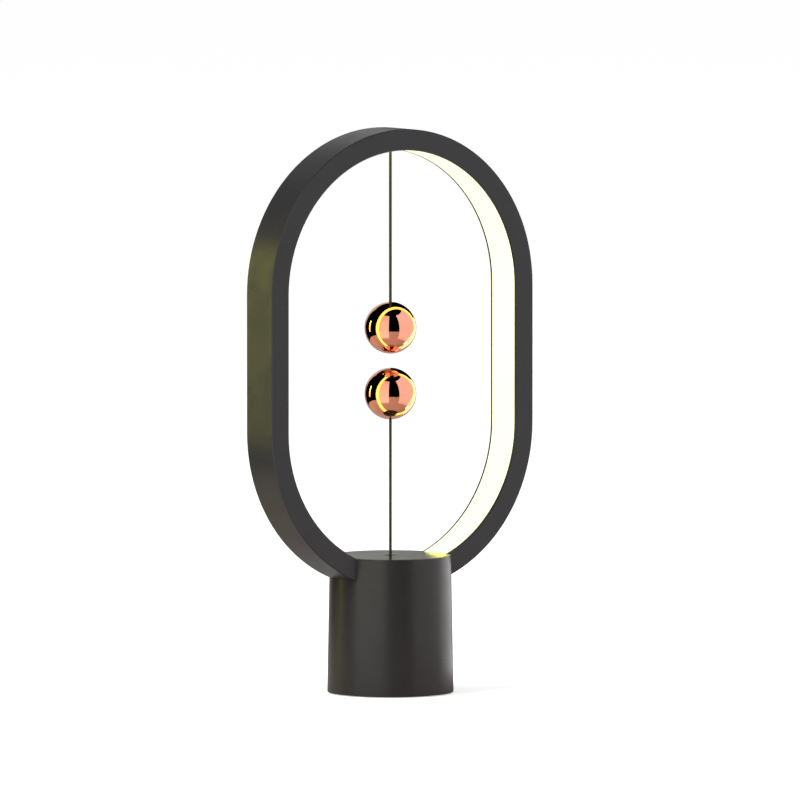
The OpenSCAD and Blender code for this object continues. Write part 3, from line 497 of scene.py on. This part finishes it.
def stage_mesh(name, grid, material):
    """A piece of the studio, from one grid of points."""
    rows, columns = grid.shape[:2]
    mesh = bpy.data.meshes.new(name)
    mesh.from_pydata(grid.reshape(-1, 3).tolist(), [], grid_faces(rows, columns).tolist())
    mesh.materials.append(material)
    piece = bpy.data.objects.new(name, mesh)
    bpy.context.scene.collection.objects.link(piece)
    return piece


def blend_upwards(material, heights, low, high):
    """Makes the light of a material go from one colour at the lower height to another at the upper."""
    place = node_of(material, "ShaderNodeTexCoord")
    axes = node_of(material, "ShaderNodeSeparateXYZ")
    rise = map_range(material, heights, (0, 1))
    blend = node_of(material, "ShaderNodeMix", data_type="RGBA")
    blend.inputs["A"].default_value, blend.inputs["B"].default_value = (*low, 1), (*high, 1)
    link(material, place.outputs["Object"], axes.inputs["Vector"])
    link(material, axes.outputs["Z"], rise.inputs["Value"])
    link(material, rise.outputs["Result"], blend.inputs["Factor"])
    link(material, blend.outputs["Result"], material.node_tree.nodes["Emission"].inputs["Color"])


def card(name, azimuths, heights, radius, low, high=None, lean=0):
    """A curved card that stands round the lamp, between two azimuths from the camera and two
    heights: part of a cylinder, whose left edge may lean to the right by some degrees from foot to
    top. Its light goes from one colour at the foot to another at the top. Only glossy surfaces see
    it, as a softbox or, when it is black, as a flag."""
    along = np.linspace(0, 1, CARD_COLUMNS)[None, :]
    up = np.linspace(0, 1, CARD_ROWS)[:, None]
    first = azimuths[0] + lean * up
    turn = np.radians(first + (azimuths[1] - first) * along)
    z = heights[0] + (heights[1] - heights[0]) * up
    material = emission_material(name, low, 1.0)
    if high:
        blend_upwards(material, heights, low, high)
    glossy_only(stage_mesh(name, around_lamp(turn, radius, z), material))


def area_light(name, azimuth, elevation, distance, size, power):
    """A round lamp of the studio, aimed at the middle of the part, that glossy surfaces don't show.
    Its azimuth counts from the camera."""
    data = bpy.data.lights.new(name, "AREA")
    data.shape = "DISK"
    data.size = size
    data.energy = power
    lamp = bpy.data.objects.new(name, data)
    bpy.context.scene.collection.objects.link(lamp)
    place = seen_from_camera(azimuth, elevation, distance)
    lamp.location = place + Vector((0, 0, MIDDLE_Z))
    lamp.rotation_mode = "QUATERNION"
    lamp.rotation_quaternion = place.to_track_quat("Z", "Y")
    lamp.visible_glossy = False


def make_world(ambient):
    """White for the camera and in reflections, and a soft grey light for the rest. The greatest of
    three Light Path values is 1 for the rays that show the world, and 0 for the others."""
    world = bpy.data.worlds.new("studio")
    bpy.context.scene.world = world
    world.use_nodes = True
    world.node_tree.nodes.clear()
    path = node_of(world, "ShaderNodeLightPath")
    seen_or_mirrored = node_of(world, "ShaderNodeMath", operation="MAXIMUM")
    shown = node_of(world, "ShaderNodeMath", operation="MAXIMUM")
    strength = map_range(world, (0, 1), (ambient, 1))
    back = node_of(world, "ShaderNodeBackground", Color=(1, 1, 1, 1))
    out = node_of(world, "ShaderNodeOutputWorld")
    link(world, path.outputs["Is Camera Ray"], seen_or_mirrored.inputs[0])
    link(world, path.outputs["Is Glossy Ray"], seen_or_mirrored.inputs[1])
    link(world, seen_or_mirrored.outputs[0], shown.inputs[0])
    link(world, path.outputs["Is Transmission Ray"], shown.inputs[1])
    link(world, shown.outputs[0], strength.inputs["Value"])
    link(world, strength.outputs["Result"], back.inputs["Strength"])
    link(world, back.outputs["Background"], out.inputs["Surface"])


def make_floor():
    """A pale round floor with an open middle, which looks white to the camera and darker in
    reflections, and keeps the lamp's shadow. From below it can't be seen, so that the lamp's foot
    shows."""
    material = principled("floor", FLOOR_COLOUR, 0.9, Specular_IOR_Level=0.0)
    shader = shader_of(material)
    shader.inputs["Emission Color"].default_value = (1, 1, 1, 1)
    path = node_of(material, "ShaderNodeLightPath")
    glow = map_range(material, (0, 1), (0, FLOOR_GLOW))
    mirrored = node_of(material, "ShaderNodeBsdfDiffuse", Color=(*MIRRORED_FLOOR, 1))
    either = node_of(material, "ShaderNodeMixShader")
    link(material, path.outputs["Is Camera Ray"], glow.inputs["Value"])
    link(material, glow.outputs["Result"], shader.inputs["Emission Strength"])
    link(material, path.outputs["Is Glossy Ray"], either.inputs[0])
    link(material, shader.outputs["BSDF"], either.inputs[1])
    link(material, mirrored.outputs["BSDF"], either.inputs[2])
    one_sided(material, either.outputs["Shader"])
    ring = turned([(FLOOR_HOLE_R, -FLOOR_GAP), (FLOOR_R, -FLOOR_GAP)], FLOOR_SIDES)
    stage_mesh("floor", ring, material)


def flat_card(name, azimuths, radii, colour, z=FLOOR_CARD_Z):
    """A level card, between two azimuths from the camera and two distances from the lamp, on the
    floor or at height z. Only glossy surfaces see it."""
    turn = np.radians(np.linspace(*azimuths, CARD_COLUMNS))[None, :]
    radius = np.linspace(*radii, FLAT_CARD_ROWS)[:, None]
    glossy_only(stage_mesh(name, around_lamp(turn, radius, z), emission_material(name, colour, 1.0)))


def strip_glow():
    """The yellow light that the strip throws into the ring: a card just before the strip's face, lit
    on the side that looks inwards, which the camera doesn't see. The ring's path is carried across
    the strip's width."""
    radius = RING_IN - GLOW_GAP
    foot = math.acos((LOW_Z - BASE_TOP - GLOW_GAP) / radius)
    side = ring_path(radius, foot)
    width = np.array([-1, 1]) * (HALF_D - LIP)
    grid = np.stack(np.broadcast_arrays(side[:, :1], width, side[:, 1:]), axis=-1)
    material = emission_material("strip_glow", (1.0, 1.0, 0.27), 2.6)
    one_sided(material, material.node_tree.nodes["Emission"].outputs["Emission"])
    glow = stage_mesh("strip_glow", grid, material)
    glossy_only(glow)
    glow.visible_diffuse = True


def make_studio():
    """Soft light from all round, and the cards that the balls and the satin plastic reflect."""
    make_world(ambient=0.5)
    make_floor()
    area_light("key", azimuth=-60, elevation=40, distance=1.6, size=1.2, power=34)
    area_light("fill", azimuth=70, elevation=25, distance=1.8, size=1.2, power=5)
    strip_glow()
    black = (0.0, 0.0, 0.0)
    # In front of the lamp and on its right
    card("front_flag", (-12, 45), (0, 1.27), 0.65, black)
    card("left_softbox", (-66, -7), (0, 0.45), 0.2, (1.32, 1.35, 1.26), (0.98, 0.82, 0.72))
    card("right_softbox", (40, 98), (0, 0.45), 0.2, (1.03, 0.97, 0.94), (1.05, 1.03, 1.2))
    card("right_wing", (98, 137), (0, 0.45), 0.21, (1.04, 1.0, 1.0), (1.05, 1.03, 1.2))
    card("right_lamp", (97, 150), (0, 0.19), 0.2, (1.3, 1.3, 1.3), (4.4, 4.4, 4.4), lean=38)
    # On its left
    card("left_flag", (-144, -66), (0, 2.3), 1.1, black)
    flat_card("left_floor_flag", (-144, -66), (0.32, 1.1), black)
    card("yellow_lamp", (-108.5, -102), (0.0, 0.4), 0.75, (2.4, 2.3, 0.35), (6.6, 6.6, 0.75))
    # Behind it
    card("back_flag", (137, 216), (0.25, 2.0), 1.12, black)
    card("back_softbox", (180, 216), (0.25, 0.9), 1.1, (0.7, 0.7, 0.7))
    card("back_low_card", (137, 216), (0, 0.25), 1.1, (0.38, 0.38, 0.36))
    # Round it on the floor, and over it
    flat_card("back_floor_card", (-215, -130), (0.06, 0.32), (0.5, 0.51, 0.51))
    flat_card("yellow_floor_card", (-128, -101), (0.12, 0.3), (0.66, 0.58, 0.33))
    flat_card("left_floor_card", (-66, -7), (0.16, 0.2), (0.9, 0.92, 0.86))
    flat_card("right_floor_card", (40, 98), (0.16, 0.2), (0.9, 0.85, 0.83))
    flat_card("right_lamp_floor_card", (104, 150), (0.13, 0.2), (2.9, 2.9, 2.9))
    flat_card("top_flag", (0, 360), (0, 0.215), black, 0.46)


# ---------- The lamp ----------

bpy.context.scene.view_settings.view_transform = "Standard"
make_camera()
cords = make_cords()
balls = make_balls()
make_studio()

ring_plastic = satin_plastic("ring_plastic", (0.021, 0.0203, 0.0206), 0.32, shine=0.36)
base_plastic = satin_plastic("base_plastic", (0.017, 0.0162, 0.0155), 0.3, shine=0.41)
white_plastic = satin_plastic("white_plastic", (0.75, 0.74, 0.7))
black_plastic = satin_plastic("black_plastic", (0.012, 0.012, 0.013))
screw_steel = bare_metal("screw_steel", (0.55, 0.55, 0.56))
eyelet_metal = bare_metal("eyelet_metal", (0.6, 0.55, 0.38))
cord_yarn = braided_cord()
dress(ring_plastic, "frame_shell", "frame_back_cover")
dress(base_plastic, "base_housing")
dress(satin_plastic("cap_plastic", (0.018, 0.0172, 0.0165), 0.17, shine=0.38), "base_cap")
dress(satin_plastic("cover_plastic", (0.012, 0.012, 0.012), 0.5), "bottom_cover")
dress(satin_plastic("pad_rubber", (0.009, 0.009, 0.009), 0.75, 0.00001), "foot_pad")
dress(glowing_strip(), "light_diffuser")
dress(satin_plastic("strip_film", (0.7, 0.69, 0.6), 0.5), "led_strip")
dress(satin_plastic("led_phosphor", (0.8, 0.6, 0.12), 0.5), "led_chips")
dress(black_plastic, "led_resistors", "switch_case", "driver_chip", "board_resistors", "usb_contacts")
dress(white_plastic, "cord_anchor", "upper_magnet_cup", "lower_magnet_cup", "switch_bracket",
      "wire_plugs")
dress(eyelet_metal, "upper_eyelet", "upper_ball_washer", "lower_ball_washer", "switch_tags")
dress(bare_metal("dark_eyelet", (0.03, 0.03, 0.03), 0.35), "lower_eyelet")
dress(bare_metal("magnet_nickel", (0.6, 0.58, 0.54), 0.15), "upper_magnet", "lower_magnet")
dress(screw_steel, "frame_screws", "cap_screws", "bracket_screws", "switch_screws", "board_screws",
      "weight_screws", "cover_screws", "return_spring", "switch_lever", "usb_socket")
dress(satin_plastic("slider_nylon", (0.7, 0.67, 0.58)), "pull_slider")
dress(satin_plastic("switch_red", (0.5, 0.02, 0.015)), "switch_plunger")
dress(satin_plastic("board_green", (0.015, 0.09, 0.035), 0.35), "main_board")
dress(satin_plastic("ferrite", (0.05, 0.05, 0.055), 0.6), "power_inductor")
dress(bare_metal("can_aluminium", (0.6, 0.6, 0.62), 0.3), "capacitors")
dress(satin_plastic("wire_red", (0.4, 0.015, 0.01)), "led_wire_plus")
dress(satin_plastic("wire_black", (0.01, 0.01, 0.01)), "led_wire_minus")
dress(satin_plastic("wire_white", (0.75, 0.75, 0.72)), "switch_wire_in", "switch_wire_out")
dress(bare_metal("weight_steel", (0.3, 0.3, 0.31), 0.45), "steel_weight")
paint(cord_yarn, cords)
paint(copper_plate(), balls)
